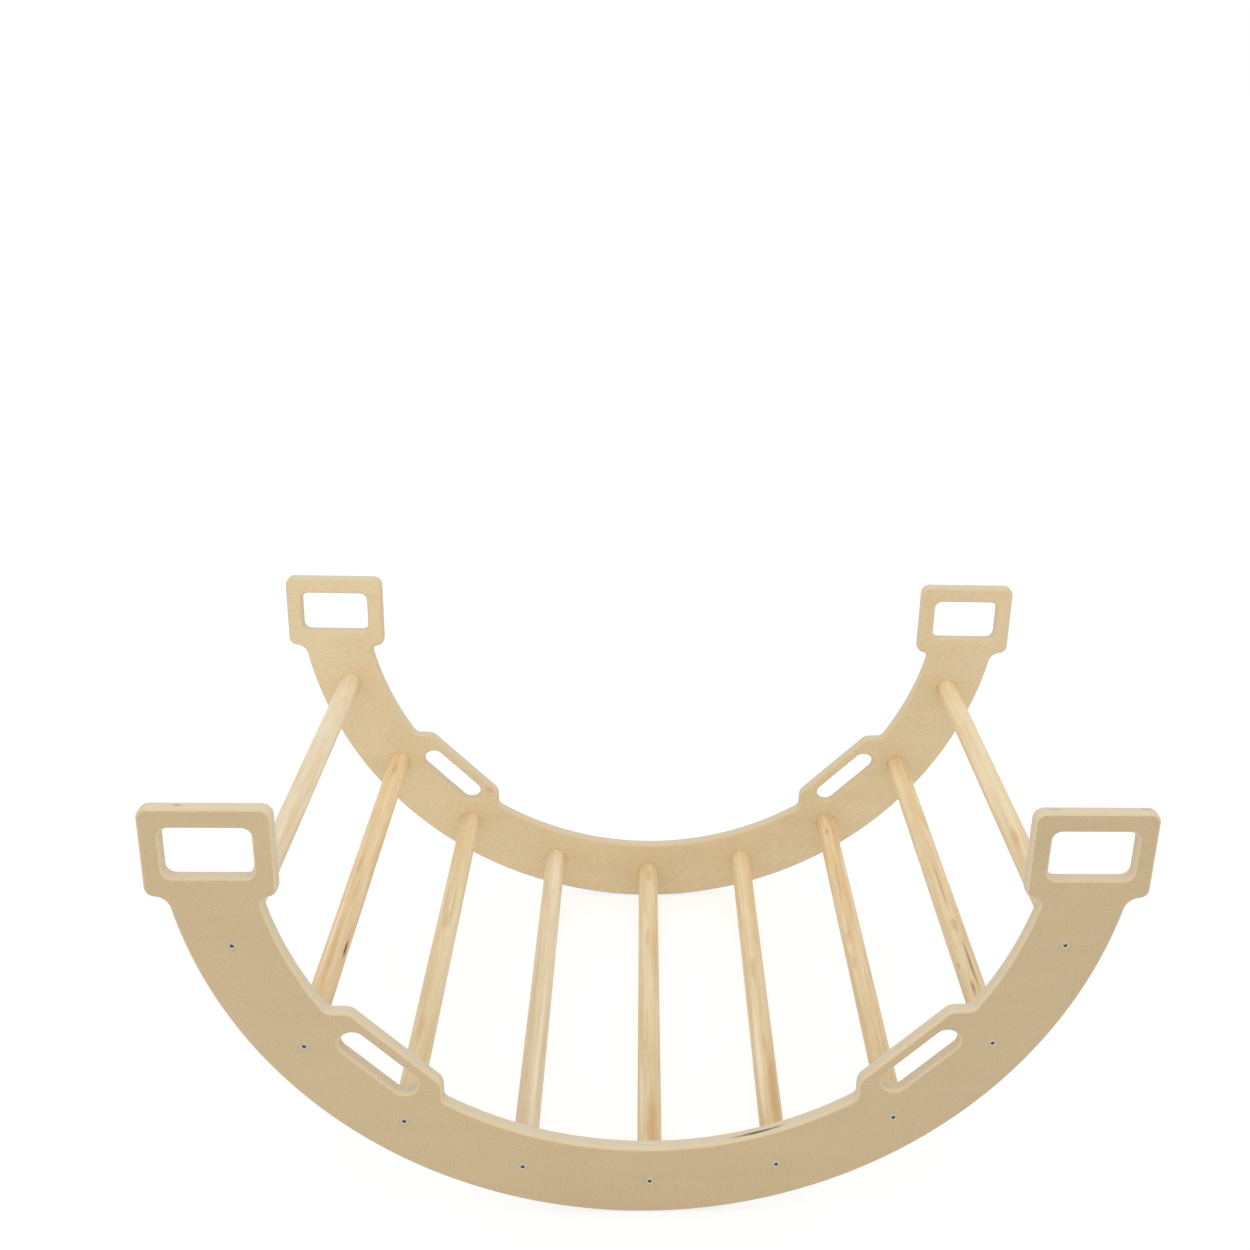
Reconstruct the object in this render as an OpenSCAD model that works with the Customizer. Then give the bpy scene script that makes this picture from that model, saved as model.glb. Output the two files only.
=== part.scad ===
/* [Side panels] */
// Outer radius of the curved edge that rocks on the floor
arc_outer_r = 500; // [400:5:650]
// Width of the curved band, measured along a radius
band_w = 90; // [75:1:115]
// Thickness of a side panel
panel_t = 15; // [12:1:24]
// Clear width between the two side panels
inner_w = 573; // [300:1:800]
// Radius of the rounding along every edge of a side panel
edge_r = 4; // [1:0.5:5]

/* [Handles] */
// Height of the handle tops above the centre of the arc
handle_rise = 20; // [10:1:40]
// Height of a handle, from its underside to its top
handle_h = 103; // [85:1:125]
// How far a handle stands out past the outer edge of the band
handle_out = 15; // [13:1:24]
// How far a handle stands in past the inner edge of the band
handle_in = 27; // [22:1:36]
// Wood left at the two sides of a hand hole
hand_hole_side_wall = 21; // [14:1:30]
// Wood left above and below a hand hole
hand_hole_top_wall = 23; // [14:0.5:30]
// Corner radius of a hand hole
hand_hole_r = 10; // [4:1:18]
// Radius of the two top corners of a handle
handle_top_r = 12; // [6:1:20]
// Radius of the two bottom corners of a handle
handle_bottom_r = 11; // [6:1:14]
// Hollow radius where a handle runs into the outer edge of the band
outer_fillet_r = 16; // [8:1:24]
// Hollow radius where a handle runs into the inner edge of the band
inner_fillet_r = 9; // [5:1:14]

/* [Side grips] */
// How far a side grip stands in past the inner edge of the band
grip_rise = 25; // [20:1:35]
// Angle between the flat of a side grip and its sloped ends
grip_slope = 45; // [35:1:55]
// Radius between the flat of a side grip and its sloped ends
grip_corner_r = 17; // [8:1:24]
// Hollow radius where a side grip runs into the inner edge of the band
grip_fillet_r = 10; // [5:1:16]
// Length of the slot in a side grip
slot_l = 102; // [80:1:130]
// Width of the slot in a side grip
slot_w = 28; // [22:1:34]
// Wood left between the slot and the flat of the side grip
slot_edge_wall = 13.5; // [10:0.5:18]
// How far the flat of the side grip runs on past each end of the slot
slot_end_wall = 15.5; // [8:0.5:25]

/* [Rungs] */
// Number of rungs
rung_count = 9; // [7:1:11]
// Diameter of a rung
rung_d = 28; // [22:1:35]
// Distance along the band from the underside of a handle to the nearest rung
rung_to_handle = 59.5; // [40:0.5:80]
// Depth of the socket that holds the end of a rung
socket_depth = 6; // [3:0.5:9]
// Gap all round a rung in its socket
socket_clearance = 0.15; // [0.05:0.05:0.4]
// Size of the bevel around the end of a rung
rung_bevel = 1; // [0.5:0.1:2]

/* [Screws] */
// Length of a screw with its head
screw_l = 50; // [40:1:70]
// Diameter of the countersunk head
screw_head_d = 10; // [8.5:0.1:12]
// Height of the straight rim of the head
screw_rim = 0.6; // [0.2:0.1:1.2]
// Diameter of the plain shank in the side panel
screw_shank_d = 7; // [5.5:0.1:8]
// Diameter of the threaded end in the rung, taken halfway up the thread
screw_thread_d = 5.6; // [4.5:0.1:6.5]
// Size across the flats of the hexagon socket
hex_w = 4; // [3:0.5:5]
// Depth of the hexagon socket
hex_depth = 2.6; // [1.5:0.1:3]
// Gap all round a screw in its hole
screw_clearance = 0.1; // [0.05:0.05:0.3]
// Depth of the pilot hole in the rung past the tip of the screw
pilot_spare = 3; // [1:0.5:6]

/* [Hidden] */

// Largest turn between two points on the long curves of a side panel
arc_step = 3;
// Number of flats along the short curves, a corner and a hollow
corner_steps = 5;
fillet_steps = 3;
slot_end_steps = 8;
// Turn between two flats of the rounded edges
edge_step = 30;
// How far a cutting shape runs past the wood
overshoot = 1;
$fn = 64;

arc_inner_r = arc_outer_r - band_w;
band_mid_r = (arc_outer_r + arc_inner_r) / 2;
handle_outer_x = arc_outer_r + handle_out;
handle_inner_x = arc_inner_r - handle_in;
handle_w = handle_outer_x - handle_inner_x;
handle_bottom_y = handle_rise - handle_h;
handle_middle = [(handle_outer_x + handle_inner_x) / 2, (handle_rise + handle_bottom_y) / 2];
hand_hole_w = handle_w - 2 * hand_hole_side_wall;
hand_hole_h = handle_h - 2 * hand_hole_top_wall;

// The rungs share the angle between the two outermost ones, which keep their distance from the handles
handle_angle = acos(-handle_bottom_y / band_mid_r);
last_rung_angle = handle_angle - rung_to_handle / band_mid_r * 180 / PI;
rung_pitch = 2 * last_rung_angle / (rung_count - 1);
function rung_angle(i) = (i - (rung_count + 1) / 2) * rung_pitch;

// A side grip stands halfway between the second and the third rung from its end
grip_angle = last_rung_angle - 1.5 * rung_pitch;
grip_half_l = slot_l / 2 + slot_end_wall;
slot_centre_r = arc_inner_r - grip_rise + slot_edge_wall + slot_w / 2;

shank_l = panel_t - socket_depth;
thread_l = screw_l - shank_l;
rung_l = inner_w + 2 * socket_depth;
head_cone_h = (screw_head_d - screw_shank_d) / 2;

// Plane geometry: angles in degrees, counterclockwise from the X axis
function along(angle) = [cos(angle), sin(angle)];
function heading(p) = atan2(p.y, p.x);
function turned(p, angle) = [p.x * cos(angle) - p.y * sin(angle), p.x * sin(angle) + p.y * cos(angle)];
function flipped(points) = [for (p = points) [-p.x, p.y]];
function reversed(list) = [for (i = [len(list) - 1:-1:0]) list[i]];
function without_first(list) = [for (i = [1:len(list) - 1]) list[i]];

// Centre of the circle that touches both a circle of radius r around the origin and a corner:
// the crossing, on the lower side, of circles of radius r and reach around the origin and the corner
function touching_centre(r, corner, reach) =
    let (
        d = norm(corner),
        u = corner / d,
        l = (d * d + r * r - reach * reach) / (2 * d)
    )
    l * u - sqrt(r * r - l * l) * [-u.y, u.x];

// Points along an arc with the wood on the left; inset moves them into the wood, on a hollow
// arc, which turns to the right, away from its centre
function arc_points(centre, r, from, to, steps, inset, first = 0, last = 0) =
    [for (i = [first:steps - last])
        centre + (r - sign(to - from) * inset) * along(from + (to - from) * i / steps)];

function steps_between(from, to) = ceil(abs(to - from) / arc_step);

// The right-hand handle, with the curves that run it into the band
bottom_outer_corner = [handle_outer_x - handle_bottom_r, handle_bottom_y + handle_bottom_r];
bottom_inner_corner = [handle_inner_x + handle_bottom_r, handle_bottom_y + handle_bottom_r];
top_corner_y = handle_rise - handle_top_r;
outer_hollow = touching_centre(arc_outer_r + outer_fillet_r, bottom_outer_corner,
    handle_bottom_r + outer_fillet_r);
inner_hollow = touching_centre(arc_inner_r - inner_fillet_r, bottom_inner_corner,
    handle_bottom_r + inner_fillet_r);

function handle_outer_side(inset) = concat(
    arc_points(outer_hollow, outer_fillet_r, heading(outer_hollow) + 180,
        heading(bottom_outer_corner - outer_hollow), fillet_steps, inset),
    arc_points(bottom_outer_corner, handle_bottom_r,
        heading(outer_hollow - bottom_outer_corner), 0, corner_steps, inset, first = 1),
    arc_points([handle_outer_x - handle_top_r, top_corner_y], handle_top_r, 0, 90, corner_steps, inset)
);

function handle_inner_side(inset) = concat(
    arc_points([handle_inner_x + handle_top_r, top_corner_y], handle_top_r, 90, 180, corner_steps, inset),
    arc_points(bottom_inner_corner, handle_bottom_r, 180,
        heading(inner_hollow - bottom_inner_corner) + 360, corner_steps, inset, last = 1),
    arc_points(inner_hollow, inner_fillet_r, heading(bottom_inner_corner - inner_hollow),
        heading(inner_hollow), fillet_steps + 1, inset)
);

// One side grip, drawn at the bottom of the arc: its flat, its sloped ends and their hollows
flat_y = grip_rise - arc_inner_r;
grip_corner = [grip_half_l - grip_corner_r * tan(grip_slope / 2), flat_y - grip_corner_r];
slope_normal = along(90 - grip_slope);
slope_reach = [grip_half_l, flat_y] * slope_normal + grip_fillet_r;
grip_hollow = slope_reach * slope_normal
    + sqrt(pow(arc_inner_r - grip_fillet_r, 2) - pow(slope_reach, 2)) * along(-grip_slope);

// The flat is divided as finely as the outer edge of the band beneath it
flat_steps = steps_between(heading([grip_corner.x, -flat_y]), heading([-grip_corner.x, -flat_y]));

function grip_edge(inset) = concat(
    arc_points(grip_hollow, grip_fillet_r, heading(grip_hollow), -90 - grip_slope, fillet_steps, inset),
    arc_points(grip_corner, grip_corner_r, 90 - grip_slope, 90, fillet_steps, inset),
    [for (i = [1:flat_steps - 1]) [grip_corner.x * (1 - 2 * i / flat_steps), flat_y - inset]],
    arc_points([-grip_corner.x, grip_corner.y], grip_corner_r, 90, 90 + grip_slope, fillet_steps, inset),
    arc_points([-grip_hollow.x, grip_hollow.y], grip_fillet_r, grip_slope - 90,
        -180 - heading(grip_hollow), fillet_steps, inset)
);

// The inner edge of the band, from the right-hand handle down to the middle
upper_arc_start = heading(inner_hollow);
upper_arc_end = grip_angle + heading(grip_hollow);
lower_arc_start = grip_angle - 180 - heading(grip_hollow);
function inner_edge(inset) = concat(
    arc_points([0, 0], arc_inner_r, upper_arc_start, upper_arc_end,
        steps_between(upper_arc_start, upper_arc_end), inset, first = 1, last = 1),
    [for (p = grip_edge(inset)) turned(p, grip_angle)],
    arc_points([0, 0], arc_inner_r, lower_arc_start, -90,
        steps_between(lower_arc_start, -90), inset, first = 1)
);

// The outer edge of the band, from the middle up, has a point on each radius of the inner one
outer_edge_angles = reversed([
    for (p = concat([along(upper_arc_start)], inner_edge(0))) heading(p)
]);
function outer_edge(inset) = [for (a = outer_edge_angles) (arc_outer_r - inset) * along(a)];

// The whole outline, counterclockwise: the outside from left to right, then the inside back again
function panel_outline(inset) =
    let (
        outside = concat(outer_edge(inset), handle_outer_side(inset)),
        inside = concat(handle_inner_side(inset), inner_edge(inset))
    )
    concat(
        flipped(reversed(outside)), without_first(outside),
        inside, without_first(flipped(reversed(inside)))
    );

function hand_hole_outline(inset) =
    let (x = hand_hole_w / 2 - hand_hole_r, y = hand_hole_h / 2 - hand_hole_r)
    [for (corner = [[x, y, 0], [-x, y, 90], [-x, -y, 180], [x, -y, 270]])
        each arc_points([corner.x, corner.y], hand_hole_r, corner.z, corner.z + 90, corner_steps, inset)];

function slot_outline(inset) =
    let (x = slot_l / 2 - slot_w / 2)
    concat(
        arc_points([x, 0], slot_w / 2, -90, 90, slot_end_steps, inset),
        arc_points([-x, 0], slot_w / 2, 90, 270, slot_end_steps, inset)
    );

// Levels through the thickness of a side panel, each with its inset and its height: half of them
// follow one rounded edge, and the other half mirror them
rounding = [for (a = [0:edge_step:90]) [edge_r * (1 - sin(a)), edge_r * (1 - cos(a))]];
function both_edges(half) = concat(half, [for (level = reversed(half)) [level.x, panel_t - level.y]]);
panel_levels = both_edges(rounding);

// A cutter keeps the slope of the rounding at the panel's face until it is clear of the wood
flare = edge_r + overshoot * (rounding[0].x - rounding[1].x) / rounding[1].y;
cutter_levels = both_edges(concat([[flare, -overshoot]], without_first(rounding)));

// Faces that fill the outline of a panel: strips across the band, and a fan around the middle of each
// handle; the two middles are numbered after the points of the outline
strips_each_way = len(outer_edge_angles) - 1;
outer_middle = strips_each_way + len(handle_outer_side(0));
inner_middle = 2 * outer_middle + strips_each_way + len(handle_inner_side(0));
panel_points = len(panel_outline(0));
right_handle = [for (i = [outer_middle + strips_each_way:inner_middle - strips_each_way]) i];
left_handle = [for (i = [inner_middle + strips_each_way:panel_points + outer_middle - strips_each_way])
    i % panel_points];
function fan(loop, middle) = [for (i = [0:len(loop) - 1]) [loop[i], loop[(i + 1) % len(loop)], middle]];
panel_lid = concat(
    [for (k = [-strips_each_way:strips_each_way - 1])
        [outer_middle + k, outer_middle + k + 1, inner_middle - k - 1, inner_middle - k]],
    fan(right_handle, panel_points),
    fan(left_handle, panel_points + 1)
);

// One face that fills a convex outline
function convex_lid(outline) = [[for (i = [0:len(outline) - 1]) i]];

// Solid between matching closed outlines, one on each level, closed by a lid at each end
module skinned(outlines, heights, lid, lid_middles = []) {
    n = len(outlines[0]);
    last = len(outlines) - 1;
    points = [for (k = [0:last]) for (p = outlines[k]) [p.x, p.y, heights[k]]];
    middles = [for (k = [0, last]) for (p = lid_middles) [p.x, p.y, heights[k]]];
    sides = [for (k = [0:last - 1]) for (i = [0:n - 1])
        let (j = (i + 1) % n) [k * n + i, k * n + n + i, k * n + n + j, k * n + j]];
    function numbered(face, first, first_middle) =
        [for (i = face) i < n ? first + i : first_middle + i - n];
    bottom = [for (face = lid) numbered(face, 0, len(points))];
    top = [for (face = lid) reversed(numbered(face, last * n, len(points) + len(lid_middles)))];
    polyhedron(concat(points, middles), concat(sides, bottom, top), convexity = 10);
}

// Places its children around the axis of the rung with this number
module at_rung(i) {
    rotate(rung_angle(i)) translate([0, -band_mid_r]) children();
}

// Socket for the end of a rung, in the inner face, and a countersunk hole from the outer face,
// whose cone is that of the screw's head
module rung_fixing_cut() {
    translate([0, 0, -overshoot])
        cylinder(d = rung_d + 2 * socket_clearance, h = socket_depth + overshoot);
    cylinder(d = screw_shank_d + 2 * screw_clearance, h = panel_t + overshoot);
    translate([0, 0, panel_t - screw_rim - head_cone_h])
        cylinder(d1 = screw_shank_d, d2 = screw_head_d, h = head_cone_h);
    translate([0, 0, panel_t - screw_rim])
        cylinder(d = screw_head_d + 2 * screw_clearance, h = screw_rim + overshoot);
}

// A side panel lying on its inner face, with the centre of its arc at the origin
module side_panel() {
    color("tan") difference() {
        skinned([for (level = panel_levels) panel_outline(level.x)], [for (level = panel_levels) level.y],
            panel_lid, [handle_middle, [-handle_middle.x, handle_middle.y]]);
        for (side = [-1, 1]) {
            translate([side * handle_middle.x, handle_middle.y])
                skinned([for (level = cutter_levels) hand_hole_outline(-level.x)],
                    [for (level = cutter_levels) level.y], convex_lid(hand_hole_outline(0)));
            rotate(side * grip_angle) translate([0, -slot_centre_r])
                skinned([for (level = cutter_levels) slot_outline(-level.x)],
                    [for (level = cutter_levels) level.y], convex_lid(slot_outline(0)));
        }
        for (i = [1:rung_count]) at_rung(i) rung_fixing_cut();
    }
}

// A countersunk screw pointing down, with the top of its head on the origin
module screw() {
    tip_h = screw_thread_d / 2;
    tip_r = screw_thread_d / 8;
    difference() {
        rotate_extrude() polygon([
            [0, 0], [0, -screw_l], [tip_r, -screw_l],
            [screw_thread_d / 2, tip_h - screw_l], [screw_thread_d / 2, -shank_l],
            [screw_shank_d / 2, -shank_l], [screw_shank_d / 2, -screw_rim - head_cone_h],
            [screw_head_d / 2, -screw_rim], [screw_head_d / 2, 0]
        ]);
        translate([0, 0, -hex_depth]) cylinder(d = hex_w / cos(30), h = hex_depth + overshoot, $fn = 6);
    }
}

// A rung along the Z axis, with its middle at the origin, bevelled ends and a pilot hole in each
module rung() {
    end = rung_l / 2;
    pilot_depth = thread_l + pilot_spare;
    color("wheat") difference() {
        rotate_extrude() polygon([
            [0, -end], [rung_d / 2 - rung_bevel, -end], [rung_d / 2, rung_bevel - end],
            [rung_d / 2, end - rung_bevel], [rung_d / 2 - rung_bevel, end], [0, end]
        ]);
        for (turn = [0, 180])
            rotate([turn, 0, 0]) translate([0, 0, end - pilot_depth])
                cylinder(d = screw_thread_d + 2 * screw_clearance, h = pilot_depth + overshoot);
    }
}

// Stands its children up on the floor with the centre of the arc over the origin
module standing() {
    translate([0, 0, arc_outer_r]) rotate([90, 0, 0]) children();
}

module side_panel_front() {
    standing() translate([0, 0, inner_w / 2]) side_panel();
}

module side_panel_rear() {
    rotate(180) side_panel_front();
}

module front_screws() {
    color("silver") standing()
        for (i = [1:rung_count]) at_rung(i) translate([0, 0, inner_w / 2 + panel_t]) screw();
}

module rear_screws() {
    rotate(180) front_screws();
}

side_panel_front();
side_panel_rear();
front_screws();
rear_screws();
for (i = [1:rung_count])
    standing() at_rung(i) rung();
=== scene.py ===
"""Wooden rocker arch: plywood side panels, pine dowels for rungs and countersunk steel screws.

The sizes are in millimetres and are turned to metres where a mesh is made. A side panel is drawn flat, with
the centre of its arc at the origin and its inner face at height 0, and is then stood up on the floor.
"""
import logging
from abc import ABC, abstractmethod
from collections.abc import Callable, Iterable, Mapping, Sequence
from dataclasses import dataclass
from enum import Enum
from functools import partial
from math import acos, atan2, ceil, degrees, radians, sqrt, tan
from typing import ClassVar

import bpy
import numpy as np
from mathutils.geometry import delaunay_2d_cdt
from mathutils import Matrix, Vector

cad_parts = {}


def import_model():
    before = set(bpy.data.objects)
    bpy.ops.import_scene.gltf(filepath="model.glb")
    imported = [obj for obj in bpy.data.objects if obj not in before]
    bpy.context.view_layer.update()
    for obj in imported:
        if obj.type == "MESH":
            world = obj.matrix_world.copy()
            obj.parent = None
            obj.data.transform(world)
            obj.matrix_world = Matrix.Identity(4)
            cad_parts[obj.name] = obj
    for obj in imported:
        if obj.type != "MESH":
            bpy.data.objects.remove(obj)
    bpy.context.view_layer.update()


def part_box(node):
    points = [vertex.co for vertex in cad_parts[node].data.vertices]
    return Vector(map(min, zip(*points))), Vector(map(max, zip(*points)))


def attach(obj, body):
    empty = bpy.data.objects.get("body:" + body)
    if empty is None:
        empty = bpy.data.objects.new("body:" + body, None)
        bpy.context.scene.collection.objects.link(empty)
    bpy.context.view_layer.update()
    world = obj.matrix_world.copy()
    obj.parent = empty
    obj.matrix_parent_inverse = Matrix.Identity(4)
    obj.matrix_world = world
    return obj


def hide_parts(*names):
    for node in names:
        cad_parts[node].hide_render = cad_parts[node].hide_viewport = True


log = logging.getLogger("rocker_arch")

MM = 0.001
BODY = "root"
# Points nearer to each other than this are one, in millimetres
WELD = 1e-4
# Twice the least area that a triangle may have, in square millimetres
SLIVER = 1e-9
# How near a point may come to an edge before the triangulation takes it to lie on it
CDT_GAP = 1e-6

Array = np.ndarray


# ---------------------------------------------------------------- plane geometry


def along(angle: float | Array) -> Array:
    """Unit vectors at angles in degrees, counterclockwise from the X axis."""
    turn = np.radians(angle)
    return np.stack([np.cos(turn), np.sin(turn)], -1)


def heading(point: Sequence[float]) -> float:
    """Angle in degrees at which a point is seen from the origin."""
    return degrees(atan2(point[1], point[0]))


def touching_centre(radius: float, corner: Array, reach: float) -> Array:
    """Finds the centre of the arc that runs a handle's corner into the band.

    It is where two circles cross, on the lower side: one of the given radius around the origin, and one
    of radius reach around the corner. The crossing lies at (d^2 + radius^2 - reach^2) / 2d along the line
    to the corner, d away, and at the rest of the radius square to it.

    Args:
        radius: Distance of the centre from the origin.
        corner: Centre of the handle's corner.
        reach: Distance of the centre from that corner.

    Returns:
        The centre, as an array of two numbers.
    """
    distance = np.hypot(*corner)
    toward = corner / distance
    run = (distance**2 + radius**2 - reach**2) / (2 * distance)
    return run * toward - sqrt(radius**2 - run**2) * np.array([-toward[1], toward[0]])


@dataclass(frozen=True)
class Bend:
    """An arc of an outline with the wood on its left: a bulge turns left, a hollow turns right."""

    centre: Sequence[float]
    radius: float
    start: float
    end: float

    def sampled(self, turn: float = 7.5, chord: float = 12.0) -> tuple[Array, Array]:
        """Points along the arc, with the normals that lead out of the wood.

        A point is centre + radius * (cos a, sin a), with the angle a in equal steps. The normal is that
        same ray on a bulge, and the opposite one on a hollow.

        Args:
            turn: Largest turn between two points, in degrees.
            chord: Largest distance between two points.

        Returns:
            The points and the normals, one row each.
        """
        sweep = abs(self.end - self.start)
        steps = ceil(max(sweep / turn, radians(sweep) * self.radius / chord))
        rays = along(np.linspace(self.start, self.end, steps + 1))
        return np.asarray(self.centre) + self.radius * rays, np.sign(self.end - self.start) * rays

    def turned(self, angle: float) -> "Bend":
        """The same arc, turned around the origin."""
        centre = np.hypot(*self.centre) * along(heading(self.centre) + angle)
        return Bend(centre, self.radius, self.start + angle, self.end + angle)


@dataclass(frozen=True)
class Outline:
    """A closed line with the wood on its left, and the normals that lead out of the wood."""

    points: Array
    normals: Array

    @staticmethod
    def through(bends: Iterable[Bend]) -> "Outline":
        """Joins arcs that touch each other, or that a straight stretch joins, into an open line.

        Args:
            bends: The arcs, in order.

        Returns:
            The line, without doubled points.
        """
        points, normals = (np.concatenate(part) for part in zip(*(bend.sampled() for bend in bends)))
        fresh = np.r_[True, np.hypot(*np.diff(points, axis=0).T) > WELD]
        return Outline(points[fresh], normals[fresh])

    def with_mirror_image(self) -> "Outline":
        """Closes an open line from the middle back to the middle with its mirror image."""
        flip = np.array([-1.0, 1.0])
        return Outline(
            np.concatenate([self.points, flip * self.points[-2:0:-1]]),
            np.concatenate([self.normals, flip * self.normals[-2:0:-1]]),
        )

    def moved(self, centre: Sequence[float], angle: float = 0.0) -> "Outline":
        """The outline turned around its origin and then moved to centre."""
        turn = np.array([along(angle), along(angle + 90)])
        return Outline(self.points @ turn + centre, self.normals @ turn)

    def inset(self, depth: float) -> Array:
        """The points, moved into the wood along their normals."""
        return self.points - depth * self.normals


# ---------------------------------------------------------------- surfaces


@dataclass(frozen=True)
class Patch:
    """Part of a surface: the corners of its triangles, and the normal at each corner."""

    corners: Array
    normals: Array

    def placed(self, turn: Array, shift: Sequence[float]) -> "Patch":
        """The patch turned by a matrix and then moved."""
        return Patch(self.corners @ turn.T + np.asarray(shift), self.normals @ turn.T)


def unit(vectors: Array) -> Array:
    """The vectors at length 1."""
    return vectors / np.linalg.norm(vectors, axis=-1, keepdims=True)


def grid_patch(points: Array, normals: Array | None = None) -> Patch:
    """Covers a grid of points with triangles.

    A cell between the rows i, i + 1 and the columns j, j + 1 gives the triangles (ij, ij+1, i+1j+1) and
    (ij, i+1j+1, i+1j), so the outside is where the columns' direction crossed with the rows' points.

    Args:
        points: Array of rows x columns x 3.
        normals: The same for the normals, or None for flat triangles.

    Returns:
        The patch.
    """

    def cells(values: Array) -> Array:
        """The corners of both triangles of every cell."""
        a, b, c, d = values[:-1, :-1], values[:-1, 1:], values[1:, 1:], values[1:, :-1]
        return np.concatenate([np.stack([a, b, c], 2), np.stack([a, c, d], 2)]).reshape(-1, 3, 3)

    corners = cells(points)
    cross = np.cross(corners[:, 1] - corners[:, 0], corners[:, 2] - corners[:, 0])
    solid = np.linalg.norm(cross, axis=1) > SLIVER
    if normals is None:
        return Patch(corners[solid], np.repeat(unit(cross[solid])[:, None], 3, axis=1))
    return Patch(corners[solid], cells(normals)[solid])


def swept_wall(outline: Outline, profile: Array) -> Patch:
    """Carries a profile along a closed outline.

    The point for a step of the outline and a level of the profile is P - inset * N at that height, and
    its normal is N * cos(tilt) with the height's direction * sin(tilt).

    Args:
        outline: The closed outline, P, with its normals, N.
        profile: Levels with their inset, height and tilt in degrees, from low to high.

    Returns:
        The wall.
    """
    points = np.concatenate([outline.points, outline.points[:1]])
    normals = np.concatenate([outline.normals, outline.normals[:1]])
    inset, height, tilt = profile.T[:, :, None]
    flat = points - inset[..., None] * normals
    rise = np.broadcast_to(height[..., None], flat.shape[:2] + (1,))
    lean = np.broadcast_to(np.sin(np.radians(tilt))[..., None], flat.shape[:2] + (1,))
    return grid_patch(
        np.concatenate([flat, rise], -1),
        np.concatenate([np.cos(np.radians(tilt))[..., None] * normals, lean], -1),
    )


def within(places: Array, edges: Array) -> Array:
    """Tells which places are in the wood: a ray from there to the right crosses an odd number of edges.

    An edge from A to B spans the height y if just one of its ends is above y, and it crosses that height
    at A + (y - A_y) (B - A) / (B_y - A_y).

    Args:
        places: Points to test, one row each.
        edges: Both ends of every edge of the lines.

    Returns:
        An array of truth values.
    """
    x, y = places.T[:, :, None]
    (start_x, start_y), (end_x, end_y) = edges.transpose(1, 2, 0)
    rise = np.where(end_y == start_y, 1.0, end_y - start_y)
    crossing = start_x + (y - start_y) * (end_x - start_x) / rise
    return (((start_y > y) != (end_y > y)) & (x < crossing)).sum(1) % 2 == 1


def filled_face(loops: Sequence[Array], height: float, faces_up: bool) -> Patch:
    """Fills a flat outline that has holes in it, by a constrained Delaunay triangulation.

    Args:
        loops: The outer line and the lines of the holes, each an array of points.
        height: Height of the face.
        faces_up: Whether the face looks up or down.

    Returns:
        The face.
    """
    points = np.concatenate(loops)
    first = np.cumsum([0] + [len(loop) for loop in loops[:-1]])
    edges = np.concatenate([
        start + np.stack([np.arange(len(loop)), np.roll(np.arange(len(loop)), -1)], 1)
        for start, loop in zip(first, loops)
    ])
    whole_hull = 0
    _, _, faces, origins, _, _ = delaunay_2d_cdt(points.tolist(), edges.tolist(), [], whole_hull, CDT_GAP)
    triangles = points[np.array([found[0] for found in origins])[np.array(faces)]]
    triangles = triangles[within(triangles.mean(1), points[edges])]
    side, rest = triangles[:, 1] - triangles[:, 0], triangles[:, 2] - triangles[:, 0]
    turns_left = side[:, 0] * rest[:, 1] - side[:, 1] * rest[:, 0] > 0
    triangles[turns_left != faces_up] = triangles[turns_left != faces_up][:, ::-1]
    corners = np.concatenate([triangles, np.full(triangles.shape[:2] + (1,), height)], -1)
    normals = np.zeros_like(corners)
    normals[..., 2] = 1.0 if faces_up else -1.0
    return Patch(corners, normals)


def circle(centre: Sequence[float], radius: float, count: int) -> Array:
    """Points around a circle."""
    return np.asarray(centre) + radius * along(np.arange(count) * 360 / count)


def lathed(
    profile: Sequence[tuple[float, float]], count: int, centre: Sequence[float] = (0, 0)
) -> list[Patch]:
    """Turns a profile around the Z axis, with a crease at each of its corners.

    A point is (r cos a, r sin a, h) for a step (r, h) of the profile and an angle a. The profile has the
    material on its left, so a stretch (dr, dh) has the normal (dh, -dr).

    Args:
        profile: Radii and heights.
        count: Number of points around.
        centre: Place of the axis.

    Returns:
        A patch for each stretch of the profile.
    """
    rays = along(np.arange(count + 1) * 360 / count)
    patches = []
    for (low_r, low_h), (high_r, high_h) in zip(profile, profile[1:]):
        radii = np.array([low_r, high_r])[:, None, None]
        heights = np.broadcast_to(np.array([low_h, high_h])[:, None, None], (2, count + 1, 1))
        points = np.concatenate([radii * rays + np.asarray(centre), heights], -1)
        slope = np.array([high_h - low_h, low_r - high_r]) / np.hypot(high_h - low_h, low_r - high_r)
        normals = np.concatenate([slope[0] * rays, np.full((count + 1, 1), slope[1])], -1)
        patches.append(grid_patch(points, np.broadcast_to(normals, points.shape)))
    return patches


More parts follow.
